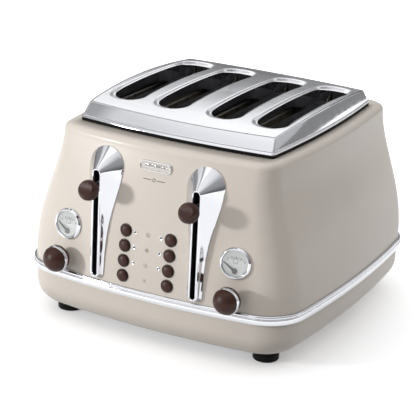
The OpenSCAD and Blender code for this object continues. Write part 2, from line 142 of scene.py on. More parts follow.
def half_w(z):
    return BODY_HALF_W - SIDE_LEAN * smooth(lean(z) ** 1.3)


def half_d(z):
    return BODY_HALF_D - FRONT_LEAN * lean(z) ** 1.7


def corner_at(z):
    return CORNER_R + (RIM_CORNER_R - CORNER_R) * clamp((z - BAND_TOP) / (RIM_Z - BAND_TOP))


def face_y(x, z):
    """Y of the front face."""
    return FRONT_BOW_R - half_d(z) - math.sqrt(FRONT_BOW_R**2 - x * x)


def on_face(x, z):
    """Puts a shape on the front face: its +Z points out of the face and its +Y up the face."""
    slope = math.atan(FRONT_LEAN * 1.7 * lean(z) ** 0.7 / (RIM_Z - SHELL_Z))
    turn = Matrix.Rotation(math.asin(x / FRONT_BOW_R), 4, "Z")
    tilt = Matrix.Rotation(math.pi / 2 - slope, 4, "X")
    return Matrix.Translation((x, face_y(x, z), z)) @ turn @ tilt


def straight_on(x, z):
    """Puts a shape on the front face like on_face, but pointing straight forwards."""
    return Matrix.Translation((x, face_y(x, z), z)) @ Matrix.Rotation(math.pi / 2, 4, "X")


def arc(cx, cy, r, start, end, steps):
    """Points along an arc, with its angles in degrees."""
    angles = [math.radians(start + (end - start) * i / steps) for i in range(steps + 1)]
    return [(cx + r * math.cos(a), cy + r * math.sin(a)) for a in angles]


def bowed(w, d, r, z, steps=20):
    """Outline of a rectangle with bowed sides and round corners, anticlockwise from the front's middle."""
    front = Vector((0, FRONT_BOW_R - d))
    side = Vector((w - SIDE_BOW_R, 0))
    gap = (side - front).length
    u = (side - front) / gap
    ra, rb = FRONT_BOW_R - r, SIDE_BOW_R - r
    along = (ra * ra - rb * rb + gap * gap) / (2 * gap)
    off = math.sqrt(max(ra * ra - along * along, 0))
    corner = front + along * u + off * Vector((-u.y, u.x))
    at_front = math.degrees(math.atan2(corner.y - front.y, corner.x - front.x))
    at_side = math.degrees(math.atan2(corner.y, corner.x - side.x))
    quarter = arc(*front, FRONT_BOW_R, -90, at_front, steps)[:-1]
    quarter += arc(*corner, r, at_front, at_side, steps)[:-1]
    quarter += arc(*side, SIDE_BOW_R, at_side, 0, steps)
    right = quarter[:-1] + [(x, -y) for x, y in reversed(quarter[1:])]
    return [Vector((x, y, z)) for x, y in right] + [Vector((-x, -y, z)) for x, y in right]


def body_ring(z, inset=0.0):
    return bowed(half_w(z) - inset, half_d(z) - inset, corner_at(z) - inset, z)


def rim_ring(angle):
    inset = RIM_ROLL * (1 - math.cos(angle))
    z = RIM_Z + RIM_ROLL * math.sin(angle)
    return bowed(half_w(RIM_Z) - inset, half_d(RIM_Z) - inset, RIM_CORNER_R - inset, z)


def base_ring(angle):
    inset = BASE_STEP + BASE_ROUND * (1 - math.cos(angle))
    z = BASE_START_Z - BASE_ROUND * math.sin(angle)
    return bowed(BODY_HALF_W - inset, BODY_HALF_D - inset, CORNER_R - inset, z)


# ---- mesh helpers ----


def tidy(bm):
    bmesh.ops.remove_doubles(bm, verts=bm.verts, dist=1e-4)
    bmesh.ops.recalc_face_normals(bm, faces=bm.faces)
    return bm


def wrapped(rings, closed=False):
    """A skin through rings of points. closed joins the last ring to the first."""
    rings = rings + rings[:1] if closed else rings
    round_steps, up_steps = len(rings[0]), len(rings) - 1
    bm = bmesh.new()
    bmesh.ops.create_grid(bm, x_segments=round_steps, y_segments=up_steps, size=1)
    for v in bm.verts:
        i = round((v.co.x + 1) / 2 * round_steps)
        j = round((v.co.y + 1) / 2 * up_steps)
        v.co = rings[j][i % round_steps]
    return tidy(bm)


def turned(profile, steps=64, closed=False):
    """A shape turned about +Z from (radius, height) points. closed joins the last point to the first."""
    bm = bmesh.new()
    verts = [bm.verts.new((r, 0, z)) for r, z in profile]
    ends = verts[1:] + verts[:1] if closed else verts[1:]
    edges = [bm.edges.new(pair) for pair in zip(verts, ends)]
    bmesh.ops.spin(
        bm, geom=verts + edges, axis=(0, 0, 1), cent=(0, 0, 0), angle=2 * math.pi, steps=steps, use_merge=True
    )
    return tidy(bm)


def block(size, at=(0, 0, 0), bevel=0.0):
    """A box of that size about that point, with its edges eased."""
    bm = bmesh.new()
    bmesh.ops.create_cube(bm, size=1, matrix=Matrix.Translation(at) @ Matrix.Diagonal((*size, 1)))
    if bevel:
        bmesh.ops.bevel(
            bm, geom=bm.edges[:], offset=bevel, segments=2, profile=0.5, affect="EDGES", material=-1
        )
    return bm


def moved(bm, matrix):
    bmesh.ops.transform(bm, matrix=matrix, verts=bm.verts)
    return bm


def joined(parts):
    """One bmesh that holds every bmesh in the list."""
    whole = bmesh.new()
    for bm in parts:
        part = bpy.data.meshes.new("part")
        bm.to_mesh(part)
        bm.free()
        whole.from_mesh(part)
        bpy.data.meshes.remove(part)
    return whole


def new_verts(result):
    return [g for g in result["geom"] if isinstance(g, bmesh.types.BMVert)]


def new_edges(result):
    return [g for g in result["geom"] if isinstance(g, bmesh.types.BMEdge)]


def stroke(points, width, height):
    """A flat raised line of even width along points in the XY plane."""
    bm = bmesh.new()
    verts = [bm.verts.new((x, y, 0)) for x, y in points]
    edges = [bm.edges.new(pair) for pair in zip(verts, verts[1:])]
    shifts = []
    for i, (x, y) in enumerate(points):
        ahead, behind = points[min(i + 1, len(points) - 1)], points[max(i - 1, 0)]
        way = Vector((ahead[0] - behind[0], ahead[1] - behind[1])).normalized()
        shifts.append(Vector((-way.y, way.x, 0)) * width / 2)
    side = new_verts(bmesh.ops.extrude_edge_only(bm, edges=edges))
    at = {tuple(v.co): shift for v, shift in zip(verts, shifts)}
    for v in side:
        v.co += at[tuple(v.co)]
    for v, shift in zip(verts, shifts):
        v.co -= shift
    top = bmesh.ops.extrude_face_region(bm, geom=bm.faces[:])
    bmesh.ops.translate(bm, vec=(0, 0, height), verts=new_verts(top))
    bmesh.ops.recalc_face_normals(bm, faces=bm.faces)
    return bm


def rounded_outline(half_x, half_y, r, z, steps=8):
    """Outline of a rectangle with round corners, anticlockwise."""
    cx, cy = half_x - r, half_y - r
    corners = ((cx, cy, 0), (-cx, cy, 90), (-cx, -cy, 180), (cx, -cy, 270))
    return [Vector((x, y, z)) for ax, ay, a in corners for x, y in arc(ax, ay, r, a, a + 90, steps)]


# ---- materials ----


def linear(hex_colour):
    """An sRGB hex colour as a linear RGBA colour."""
    parts = [int(hex_colour[i : i + 2], 16) / 255 for i in (1, 3, 5)]
    return (*[c / 12.92 if c <= 0.04045 else ((c + 0.055) / 1.055) ** 2.4 for c in parts], 1)


def per(size_mm):
    """Texture scale on Object coordinates that gives features of that size."""
    return 1 / (size_mm * MM)


def add(tree, kind, inputs=None, **settings):
    """Adds a node. inputs gives each socket a value, or the socket that feeds it."""
    node = tree.nodes.new("ShaderNode" + kind)
    for key, value in settings.items():
        setattr(node, key, value)
    for key, value in (inputs or {}).items():
        if isinstance(value, bpy.types.NodeSocket):
            tree.links.new(value, node.inputs[key])
        else:
            node.inputs[key].default_value = value
    return node


def material(name, **shader):
    """A material with its shader's own sockets set, and the Object coordinates that its patterns read."""
    made = bpy.data.materials.new(name)
    made.use_nodes = True
    tree = made.node_tree
    bsdf = tree.nodes["Principled BSDF"]
    for key, value in shader.items():
        bsdf.inputs[key.replace("_", " ")].default_value = value
    return made, tree, bsdf, add(tree, "TexCoord").outputs["Object"]


def noise(tree, coords, size, detail=2.0, stretch=(1, 1, 1)):
    """Noise with features of that size in millimetres, drawn out along an axis by stretch."""
    scaled = add(tree, "Mapping", {"Vector": coords, "Scale": [per(size) / s for s in stretch]})
    return add(tree, "TexNoise", {"Vector": scaled.outputs[0], "Scale": 1.0, "Detail": detail}).outputs["Fac"]


def ramp(tree, fac, low, high, start=0.3, end=0.7):
    """Maps a pattern's middle range to two values."""
    sockets = {"Value": fac, "From Min": start, "From Max": end, "To Min": low, "To Max": high}
    return add(tree, "MapRange", sockets).outputs[0]


def blend_colours(tree, fac, first, second):
    mix = add(tree, "Mix", {0: fac}, data_type="RGBA")
    mix.inputs[6].default_value = linear(first)
    mix.inputs[7].default_value = linear(second)
    return mix.outputs[2]


def bump(tree, bsdf, height, depth_mm, strength=1.0):
    sockets = {"Height": height, "Distance": depth_mm * MM, "Strength": strength}
    tree.links.new(add(tree, "Bump", sockets).outputs[0], bsdf.inputs["Normal"])


def painted_steel():
    # Sprayed and baked beige enamel on pressed steel: an even colour, a soft gloss and some orange peel.
    made, tree, bsdf, coords = material(
        "painted_steel", Roughness=0.36, IOR=1.4, Coat_Weight=0.12, Coat_Roughness=0.16
    )
    tone = ramp(tree, noise(tree, coords, 70), 0, 1)
    tree.links.new(blend_colours(tree, tone, "#D5CCC1", "#D8CFC5"), bsdf.inputs["Base Color"])
    bump(tree, bsdf, noise(tree, coords, 2.5), 0.02, 0.35)
    return made


def polished_chrome():
    # Chrome plate over polished steel: a mirror with very faint waviness and wiping marks.
    made, tree, bsdf, coords = material("polished_chrome", Base_Color=linear("#D4D5D9"), Metallic=1.0)
    marks = noise(tree, coords, 9, 3.0, (1, 1, 3))
    tree.links.new(ramp(tree, marks, 0.045, 0.09), bsdf.inputs["Roughness"])
    bump(tree, bsdf, noise(tree, coords, 14, 0.0), 0.03, 0.25)
    return made


def brushed_stainless():
    # Stainless sheet brushed from side to side: fine streaks that spread the light along Y.
    # The streaks are 0.7 mm wide, coarser than real grit lines, so that they show.
    made, tree, bsdf, coords = material("brushed_stainless", Metallic=1.0, Anisotropic=0.35)
    streaks = noise(tree, coords, 0.7, 3.0, (60, 1, 1))
    broad = noise(tree, coords, 18, 2.0, (4, 1, 1))
    mixed = add(tree, "Math", {0: streaks, 1: broad}, operation="MULTIPLY").outputs[0]
    tree.links.new(ramp(tree, mixed, 0.2, 0.26, 0.15, 0.35), bsdf.inputs["Roughness"])
    tree.links.new(blend_colours(tree, streaks, "#E4E5E8", "#EEEFF2"), bsdf.inputs["Base Color"])
    bump(tree, bsdf, streaks, 0.006, 0.2)
    return made


def bare_steel():
    # Cold rolled, aluminised steel sheet: dull grey with a soft, cloudy mottle.
    made, tree, bsdf, coords = material("aluminised_steel", Metallic=1.0)
    cloud = noise(tree, coords, 6, 4.0)
    tree.links.new(ramp(tree, cloud, 0.32, 0.5), bsdf.inputs["Roughness"])
    tree.links.new(blend_colours(tree, cloud, "#8D9094", "#A9ABAE"), bsdf.inputs["Base Color"])
    bump(tree, bsdf, noise(tree, coords, 1.5, 2.0), 0.01, 0.4)
    return made


def heated_steel():
    # Steel close to the elements: browned and blued by heat in slow patches.
    made, tree, bsdf, coords = material("heat_tinted_steel", Metallic=1.0)
    patches = noise(tree, coords, 22, 3.0)
    tree.links.new(blend_colours(tree, patches, "#9A9CA2", "#B4B4B8"), bsdf.inputs["Base Color"])
    tree.links.new(ramp(tree, noise(tree, coords, 3), 0.3, 0.5), bsdf.inputs["Roughness"])
    return made


def plated_wire():
    # Drawn steel wire with bright nickel plate, a little dulled by crumbs and heat.
    made, tree, bsdf, coords = material("nickel_plated_wire", Metallic=1.0)
    spots = noise(tree, coords, 2.5, 3.0)
    tree.links.new(ramp(tree, spots, 0.18, 0.42), bsdf.inputs["Roughness"])
    tree.links.new(blend_colours(tree, spots, "#8E8A84", "#B4B3B1"), bsdf.inputs["Base Color"])
    return made


def phenolic():
    # Compression moulded dark brown phenolic: satin with a deep colour and a soft, slightly mottled sheen.
    made, tree, bsdf, coords = material("brown_phenolic", Specular_IOR_Level=0.3)
    mottle = noise(tree, coords, 5, 4.0)
    tree.links.new(blend_colours(tree, mottle, "#31140B", "#3C1C11"), bsdf.inputs["Base Color"])
    tree.links.new(ramp(tree, noise(tree, coords, 2), 0.36, 0.46), bsdf.inputs["Roughness"])
    bump(tree, bsdf, noise(tree, coords, 0.6), 0.01, 0.3)
    return made


def rubber():
    # Moulded black rubber: matt, with a fine grain and a little dust.
    made, tree, bsdf, coords = material("black_rubber", Specular_IOR_Level=0.15)
    dust = noise(tree, coords, 4, 4.0)
    tree.links.new(blend_colours(tree, dust, "#050505", "#0A0A0A"), bsdf.inputs["Base Color"])
    tree.links.new(ramp(tree, dust, 0.5, 0.7), bsdf.inputs["Roughness"])
    bump(tree, bsdf, noise(tree, coords, 0.5), 0.02, 0.4)
    return made


def black_nylon():
    # Glass filled black nylon, moulded with a fine spark texture.
    made, tree, bsdf, coords = material("black_nylon", Base_Color=linear("#141415"), IOR=1.53)
    grain = noise(tree, coords, 0.5)
    tree.links.new(ramp(tree, grain, 0.42, 0.6), bsdf.inputs["Roughness"])
    bump(tree, bsdf, grain, 0.02, 0.5)
    return made


def mica_sheet():
    # Pressed mica sheet: tan layers with silvery flakes.
    made, tree, bsdf, coords = material("pressed_mica", IOR=1.58)
    flakes = noise(tree, coords, 3, 5.0)
    tree.links.new(blend_colours(tree, flakes, "#6E6148", "#A3977A"), bsdf.inputs["Base Color"])
    tree.links.new(ramp(tree, flakes, 0.3, 0.6), bsdf.inputs["Roughness"])
    return made


def heating_alloy():
    # Nickel chromium ribbon, oxidised dark grey by use.
    made, tree, bsdf, coords = material("nickel_chromium_ribbon", Metallic=1.0)
    oxide = noise(tree, coords, 1.5, 3.0)
    tree.links.new(blend_colours(tree, oxide, "#3A3734", "#5C5853"), bsdf.inputs["Base Color"])
    tree.links.new(ramp(tree, oxide, 0.35, 0.6), bsdf.inputs["Roughness"])
    return made


def dial_enamel():
    # Printed aluminium dial: white satin ink, very slightly uneven.
    made, tree, bsdf, coords = material("white_dial_ink", IOR=1.5)
    tone = noise(tree, coords, 4, 3.0)
    tree.links.new(blend_colours(tree, tone, "#E4E5E3", "#ECEDEB"), bsdf.inputs["Base Color"])
    tree.links.new(ramp(tree, tone, 0.32, 0.42), bsdf.inputs["Roughness"])
    return made


def grey_ink(name, first, second):
    # Screen printed ink: flat colour with a slightly broken surface.
    made, tree, bsdf, coords = material(name, IOR=1.5)
    tone = noise(tree, coords, 0.8, 3.0)
    tree.links.new(blend_colours(tree, tone, first, second), bsdf.inputs["Base Color"])
    tree.links.new(ramp(tree, tone, 0.4, 0.55), bsdf.inputs["Roughness"])
    return made


def gauge_glass():
    # Moulded clear acrylic: glossy and a little wavy.
    made, tree, bsdf, coords = material(
        "clear_acrylic", Base_Color=linear("#FBFCFC"), IOR=1.49, Roughness=0.03, Transmission_Weight=1.0
    )
    bump(tree, bsdf, noise(tree, coords, 6, 0.0), 0.01, 0.2)
    return made


def lamp_lens():
    # Smoked red polycarbonate over an unlit lamp: almost black with a red cast in the light.
    made, tree, bsdf, coords = material("smoked_lamp_lens", IOR=1.58, Coat_Weight=0.6, Coat_Roughness=0.08)
    depth = noise(tree, coords, 1.2, 2.0)
    tree.links.new(blend_colours(tree, depth, "#1B1210", "#2A1815"), bsdf.inputs["Base Color"])
    tree.links.new(ramp(tree, depth, 0.15, 0.25), bsdf.inputs["Roughness"])
    return made


def circuit_board():
    # Solder mask over glass cloth: green with the weave just showing.
    made, tree, bsdf, coords = material("green_solder_mask", IOR=1.55, Coat_Weight=0.3)
    weave = noise(tree, coords, 1.2, 1.0, (1, 1, 3))
    tree.links.new(blend_colours(tree, weave, "#17482A", "#226038"), bsdf.inputs["Base Color"])
    tree.links.new(ramp(tree, weave, 0.3, 0.45), bsdf.inputs["Roughness"])
    return made


PAINT = painted_steel()
CHROME = polished_chrome()
BRUSHED = brushed_stainless()
STEEL = bare_steel()
HEATED = heated_steel()
WIRE = plated_wire()
BROWN = phenolic()
RUBBER = rubber()
NYLON = black_nylon()
MICA = mica_sheet()
ELEMENT = heating_alloy()
DIAL = dial_enamel()
DARK_INK = grey_ink("dark_grey_ink", "#3A3836", "#464341")
PALE_INK = grey_ink("warm_grey_ink", "#8B8276", "#978D80")
GLASS = gauge_glass()
LAMP = lamp_lens()
BOARD = circuit_board()


def place(name, bm, finishes, body, slot, *nodes, sharp=30):
    """Sends a finished mesh to the frame with its materials and its body, in place of the nodes it replaces;
    its slot is not used.
    """
    moved(bm, TO_FRAME)
    mesh = bpy.data.meshes.new(name)
    bm.to_mesh(mesh)
    bm.free()
    for finish in finishes:
        mesh.materials.append(finish)
    mesh.shade_smooth()
    mesh.set_sharp_from_angle(angle=math.radians(sharp))
    piece = bpy.data.objects.new(name, mesh)
    bpy.context.scene.collection.objects.link(piece)
    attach(piece, body)
    if nodes:
        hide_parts(*nodes)
    return piece


def thicken(piece, wall):
    """Gives a skin its sheet thickness, inwards."""
    solid = piece.modifiers.new("sheet", "SOLIDIFY")
    solid.thickness = wall * MM
    solid.offset = -1
    return piece


def cut_window(bm, low, high, keep):
    """Cuts a rectangular window through a skin. keep tells which faces may be cut, from their middles."""
    for axis in range(3):
        for edge in (low[axis], high[axis]):
            if edge is None:
                continue
            plane_at = Vector((0, 0, 0))
            plane_at[axis] = edge
            normal = Vector((0, 0, 0))
            normal[axis] = 1
            faces = [f for f in bm.faces if keep(f.calc_center_median())]
            near = {g for f in faces for g in (f, *f.edges, *f.verts)}
            bmesh.ops.bisect_plane(bm, geom=list(near), plane_co=plane_at, plane_no=normal, dist=1e-4)

    def inside(p):
        return all(
            (low[i] is None or p[i] > low[i]) and (high[i] is None or p[i] < high[i]) for i in range(3)
        )

    window = [f for f in bm.faces if keep(f.calc_center_median()) and inside(f.calc_center_median())]
    bmesh.ops.delete(bm, geom=window, context="FACES")


# ---- painted shells and their trim ----


def upper_shell():
    wall_rings, roll_rings = 40, 8
    rings = [body_ring(JOINT_Z + (RIM_Z - JOINT_Z) * i / wall_rings) for i in range(wall_rings + 1)]
    rings += [rim_ring(math.radians(90 * i / roll_rings)) for i in range(1, roll_rings + 1)]
    rings.append(bowed(COVER_HALF_W - 3, COVER_HALF_D - 3, 6, SHOULDER_Z))
    bm = wrapped(rings)
    for side in SIDES.values():
        x = side * LEVER_X
        low = (x - LEVER_WINDOW_HALF, None, LEVER_WINDOW_Z[0])
        high = (x + LEVER_WINDOW_HALF, None, LEVER_WINDOW_Z[1])
        cut_window(bm, low, high, lambda p, x=x: p.y < -100 and abs(p.x - x) < 25)
    thicken(place("upper_shell_skin", bm, [PAINT], "housing", "painted_body", "upper_shell"), WALL)


def base_shell():
    arc_rings = 14
    rings = [base_ring(math.radians(90 - 90 * i / arc_rings)) for i in range(arc_rings + 1)]
    top = JOINT_Z - 0.2
    for z in ((BASE_START_Z + top) / 2, top):
        rings.append(bowed(BODY_HALF_W - BASE_STEP, BODY_HALF_D - BASE_STEP, CORNER_R - BASE_STEP, z))
    bm = wrapped(rings)
    for side in SIDES.values():
        xs = sorted(side * x for x in TRAY_WINDOW_X)
        low, high = (xs[0], None, TRAY_WINDOW_Z[0]), (xs[1], None, TRAY_WINDOW_Z[1])
        cut_window(bm, low, high, lambda p: p.y > 100)
    thicken(place("base_shell_skin", bm, [PAINT], "housing", "painted_body", "base_shell"), WALL)


def trim_band():
    """A chromed strip: a flat lower face, a fine groove and a round bead along its top."""
    profile = [(0.15, 0), (1.9, 0), (2.35, 0.15), (BAND_OUT, 0.6)]
    profile += [(BAND_OUT, 4.4), (2.45, 4.75), (1.95, 4.85), (1.95, 5.15)]
    profile += arc(0.65, 6.85, 1.75, -50, 75, 10)
    profile += [(0.15, BAND_H)]
    rings = [bowed(BODY_HALF_W + o, BODY_HALF_D + o, CORNER_R + o, SHELL_Z + h) for o, h in profile]
    place("trim_band_strip", wrapped(rings, closed=True), [CHROME], "housing", "polished_chrome", "trim_band")


# ---- top cover ----

DIMPLE_X = 3.6
DIMPLE_Y = 9.0
DIMPLE_R = 4.5
DIMPLE_SIDE_DEPTH = 1.5
DIMPLE_END_DEPTH = 3.0
SEAM_INSET = 1.5
SEAM_W = 0.7
SEAM_DEPTH = 0.8
SHEET_STRIP = 6.0
SHEET = 0.8

# Rows drawn from the arched sheet's edge, as a drop from the row above and a distance inside the slope:
# a fine seam, whose faces take black nylon as painted shade, and the eased edge of the frame outside it.
SEAM_ROWS = [(SEAM_DEPTH, SEAM_INSET), (0.01, SEAM_INSET - SEAM_W)]
EDGE_ROWS = [(0.05 - SEAM_DEPTH, SEAM_INSET - SEAM_W), (0.1, 0.25), (0.5, 0.0)]
# Rows below them, as a height over the cover's foot and a distance inside the slope: a groove and a bead.
SLOPE_ROWS = [(8.0, 0), (3.6, 0), (3.25, 0.1), (3.1, 0.55), (2.7, 0.55), (2.55, 0.1)]
SLOPE_ROWS += [(2.2, -0.25), (1.6, -0.4), (0.8, -0.3), (0.3, 0.0), (0.0, 0.5)]


def arch_z(y):
    return CROWN_Z - BARREL_R + math.sqrt(BARREL_R**2 - y * y)


def cover_halves(z):
    """Half width and half depth of the cover's sloping skirt at a height."""
    rise = (z - COVER_Z) / COVER_RISE
    return COVER_HALF_W - COVER_SIDE_SLOPE * rise, COVER_HALF_D - COVER_FRONT_SLOPE * rise


def cover_outline():
    """Plan of the edge where the skirt meets the arched top."""
    ring = bowed(COVER_HALF_W, COVER_HALF_D, 3.0, 0)
    edge = [Vector(p) for p in ring]
    for _ in range(4):
        for p, start in zip(edge, ring):
            w, d = cover_halves(arch_z(p.y))
            p.x = start.x * (w - SEAM_INSET) / COVER_HALF_W
            p.y = start.y * (d - SEAM_INSET) / COVER_HALF_D
    return edge


def dimple_sizes(s):
    """Corner centre and radius of a slot's outline, from its hole at 0 to the outside of its dimple at 1."""
    r = SLOT_R + DIMPLE_R * s
    return SLOT_HALF_W + DIMPLE_X * s - r, SLOT_HALF_L + DIMPLE_Y * s - r, r


def dimple_step(p, s, s_next):
    """Moves a point of a slot's outline, from the slot's middle, to the next outline."""
    cx, cy, r = dimple_sizes(s)
    nx, ny, nr = dimple_sizes(s_next)
    u, v = abs(p.x), abs(p.y)
    if v <= cy:
        u, v = u + nx + nr - cx - r, v * ny / cy
    elif u <= cx:
        u, v = u * nx / cx, v + ny + nr - cy - r
    else:
        way = Vector((u - cx, v - cy)).normalized()
        u, v = nx + nr * way.x, ny + nr * way.y
    return Vector((math.copysign(u, p.x), math.copysign(v, p.y), 0))


def dimple_drop(y, s):
    """How far the sheet is drawn down at a point of the outline s."""
    end = smooth(clamp((abs(y) - SLOT_HALF_L * 0.66) / (SLOT_HALF_L * 0.34)))
    depth = DIMPLE_SIDE_DEPTH + (DIMPLE_END_DEPTH - DIMPLE_SIDE_DEPTH) * end
    return depth * (1 - smooth(s))


def cover_top():
    """The arched sheet with four drawn slots, cut into strips that follow the arch."""
    bm = bmesh.new()
    cx, cy, r = dimple_sizes(1)
    outlines = [cover_outline()]
    for x in SLOT_XS:
        ring = rounded_outline(cx + r, cy + r, r, 0, 12)
        outlines.append([p + Vector((x, SLOT_Y, 0)) for p in ring])
    for ring in outlines:
        verts = [bm.verts.new(p) for p in ring]
        for pair in zip(verts, verts[1:] + verts[:1]):
            bm.edges.new(pair)
    bmesh.ops.triangle_fill(bm, use_beauty=True, use_dissolve=False, edges=bm.edges[:], normal=(0, 0, 1))
    count = int((COVER_EDGE_D - 10) / SHEET_STRIP)  # the front and rear edges stay whole
    for i in range(-count, count + 1):
        whole = bm.verts[:] + bm.edges[:] + bm.faces[:]
        cut_at = (0, i * SHEET_STRIP, 0)
        bmesh.ops.bisect_plane(bm, geom=whole, plane_co=cut_at, plane_no=(0, 1, 0), dist=1e-4)
    return bm


def sort_rims(bm):
    """The open edges of the sheet: those of its outline, and those of each slot."""
    outline, slots = [], {x: [] for x in SLOT_XS}
    cx, cy, r = dimple_sizes(1)
    reach_x, reach_y = cx + r + 0.5, cy + r + 0.5
    for e in bm.edges:
        if not e.is_boundary:
            continue
        middle = (e.verts[0].co + e.verts[1].co) / 2
        near = min(SLOT_XS, key=lambda x: abs(x - middle.x))
        at_slot = abs(middle.x - near) < reach_x and abs(middle.y - SLOT_Y) < reach_y
        (slots[near] if at_slot else outline).append(e)
    return outline, slots


def draw_dimples(bm, slots, steps=8):
    """Draws the sheet down round each slot in rows, and bends the whole sheet to its arch."""
    drops = {}
    for x, edges in slots.items():
        middle = Vector((x, SLOT_Y, 0))
        for i in range(steps):
            s, s_next = 1 - i / steps, 1 - (i + 1) / steps
            made = bmesh.ops.extrude_edge_only(bm, edges=edges)
            for v in new_verts(made):
                v.co = middle + dimple_step(v.co - middle, s, s_next)
                drops[v] = dimple_drop(v.co.y - SLOT_Y, s_next)
            edges = new_edges(made)
        slots[x] = edges
    for v in bm.verts:
        v.co.z = arch_z(v.co.y) - drops.get(v, 0)


def draw_lips(bm, slots, turn=0.5):
    """Turns the edge of each slot straight down into the body."""
    for edges in slots.values():
        for lip_end in (None, LIP_Z):
            made = bmesh.ops.extrude_edge_only(bm, edges=edges)
            for v in new_verts(made):
                v.co.z = lip_end or v.co.z - turn
            edges = new_edges(made)


def draw_skirt(bm, edges):
    """Draws the outline down into the seam and the skirt, and returns the faces of the seam."""
    rows = [(lambda z, drop=drop: z - drop, inset) for drop, inset in SEAM_ROWS + EDGE_ROWS]
    rows += [(lambda z, rise=rise: COVER_Z + rise, inset) for rise, inset in SLOPE_ROWS]
    inset, seam = SEAM_INSET, []
    for row, (new_height, next_inset) in enumerate(rows):
        made = bmesh.ops.extrude_edge_only(bm, edges=edges)
        for v in new_verts(made):
            w, d = cover_halves(v.co.z)
            v.co.z = new_height(v.co.z)
            next_w, next_d = cover_halves(v.co.z)
            v.co.x *= (next_w - next_inset) / (w - inset)
            v.co.y *= (next_d - next_inset) / (d - inset)
        if row < len(SEAM_ROWS):
            seam += [g for g in made["geom"] if isinstance(g, bmesh.types.BMFace)]
        edges, inset = new_edges(made), next_inset
    return seam


def top_cover():
    """A brushed, arched sheet with four drawn slots, in a chromed frame with sloping sides."""
    bm = cover_top()
    outline, slots = sort_rims(bm)
    draw_dimples(bm, slots)
    sheet = bm.faces[:]
    draw_lips(bm, slots)
    seam = draw_skirt(bm, outline)
    for f in bm.faces:
        f.material_index = 1
    for f in sheet:
        f.material_index = 0
    # The seam's groove takes black nylon: painted shade along the crease between the sheet and the frame.
    for f in seam:
        f.material_index = 2
    bmesh.ops.recalc_face_normals(bm, faces=bm.faces)
    bm.normal_update()
    if sum(f.normal.z for f in sheet) < 0:
        bmesh.ops.reverse_faces(bm, faces=bm.faces)
    finishes = [BRUSHED, CHROME, NYLON]
    cover = place("top_cover_sheet", bm, finishes, "housing", "polished_chrome", "top_cover")
    thicken(cover, SHEET)
    cover.modifiers.new("even_shading", "WEIGHTED_NORMAL").keep_sharp = True


# ---- levers ----

SLOT_EDGE = 2.3
LIP_OUT = 2.5
APEX_Z = 157.0
TOE_Z = 62.6
DISC_Z = 159.4
DISC_R = 17.8
CREASE_Z = 155.0
TOE_W = 7.3
TOE_DROP = 3.6
FLANK_STEPS = 10
FLANK_HOLLOW = 0.5
FLANK_EDGE_PROUD = 1.3
SUNK = 0.5


def outline_half(z):
    """Half width of the escutcheon below its disc."""
    t = clamp((z - TOE_Z) / (CREASE_Z + 2 - TOE_Z))
    return TOE_W + (DISC_R - 0.3 - TOE_W) * smooth(t**1.7)


def stadium(grow, straight=24, end=16):
    """The slot's outline: right side upwards, top half circle, left side downwards, bottom half circle."""
    r = SLOT_EDGE + grow
    zs = [TOE_Z + (APEX_Z - TOE_Z) * i / straight for i in range(straight + 1)]
    top = arc(0, APEX_Z, r, 0, 180, end)
    bottom = arc(0, TOE_Z, r, 180, 360, end)
    return [(r, z) for z in zs[:-1]] + top[:-1] + [(-r, z) for z in reversed(zs[1:])] + bottom[:-1]


def escutcheon_outline(straight=24, end=16):
    """The outer outline, point for point opposite the slot's outline."""
    zs = [TOE_Z + (CREASE_Z - TOE_Z) * i / straight for i in range(straight + 1)]
    start = math.degrees(math.asin((CREASE_Z - DISC_Z) / DISC_R))
    top = arc(0, DISC_Z, DISC_R, start, 180 - start, end)
    turns = [math.pi * i / end for i in range(end + 1)]
    bottom = [(-TOE_W * math.cos(a), TOE_Z - TOE_DROP * math.sin(a) ** 0.5) for a in turns]
    right = [(outline_half(z), z) for z in zs]
    left = [(-x, z) for x, z in reversed(right)]
    return right[:-1] + top[:-1] + left[:-1] + bottom[:-1]


def escutcheon(side_name):
    """A chromed lever guide: a raised slot whose flanks fall away to the face, with a cone over its top."""
    x0 = SIDES[side_name] * LEVER_X
    outer = escutcheon_outline()

    def ring(points, y):
        return [Vector((x0 + x, y, z)) for x, z in points]

    def on_skin(points, proud):
        return [Vector((x0 + x, face_y(x0 + x, z) - proud, z)) for x, z in points]

    lip = ((0, 0.7), (0.25, 0.2), (0.8, -0.15), (1.4, -0.2), (1.9, 0.1), (2.2, 0.6))
    rings = [on_skin(stadium(0), -SUNK)]
    rings += [ring(stadium(grow), RIDGE_Y + back) for grow, back in lip]
    crest = ring(stadium(LIP_OUT), RIDGE_Y + 1.0)
    edge = on_skin(outer, FLANK_EDGE_PROUD)
    for i in range(FLANK_STEPS + 1):
        t = i / FLANK_STEPS
        hollow = FLANK_HOLLOW * math.sin(math.pi * t)
        rings.append([a.lerp(b, t) + Vector((0, hollow, 0)) for a, b in zip(crest, edge)])
    rolled = [(x * 1.012, z) for x, z in outer]
    rings += [on_skin(rolled, 0.9), on_skin(rolled, -SUNK)]
    bm = wrapped(rings, closed=True)
    # The slot's inner walls, from the lip back into the body, take black nylon: painted shade down the slot.
    for f in bm.faces:
        middle = f.calc_center_median()
        painted_shade_wall = middle.y > RIDGE_Y + 0.9 and abs(middle.x - x0) < SLOT_EDGE + 0.05
        f.material_index = 1 if painted_shade_wall and TOE_Z - 3 < middle.z < APEX_Z + 3 else 0
    name = f"lever_escutcheon_{side_name}"
    place(name + "_plate", bm, [CHROME, NYLON], "housing", "polished_chrome", name, sharp=24)


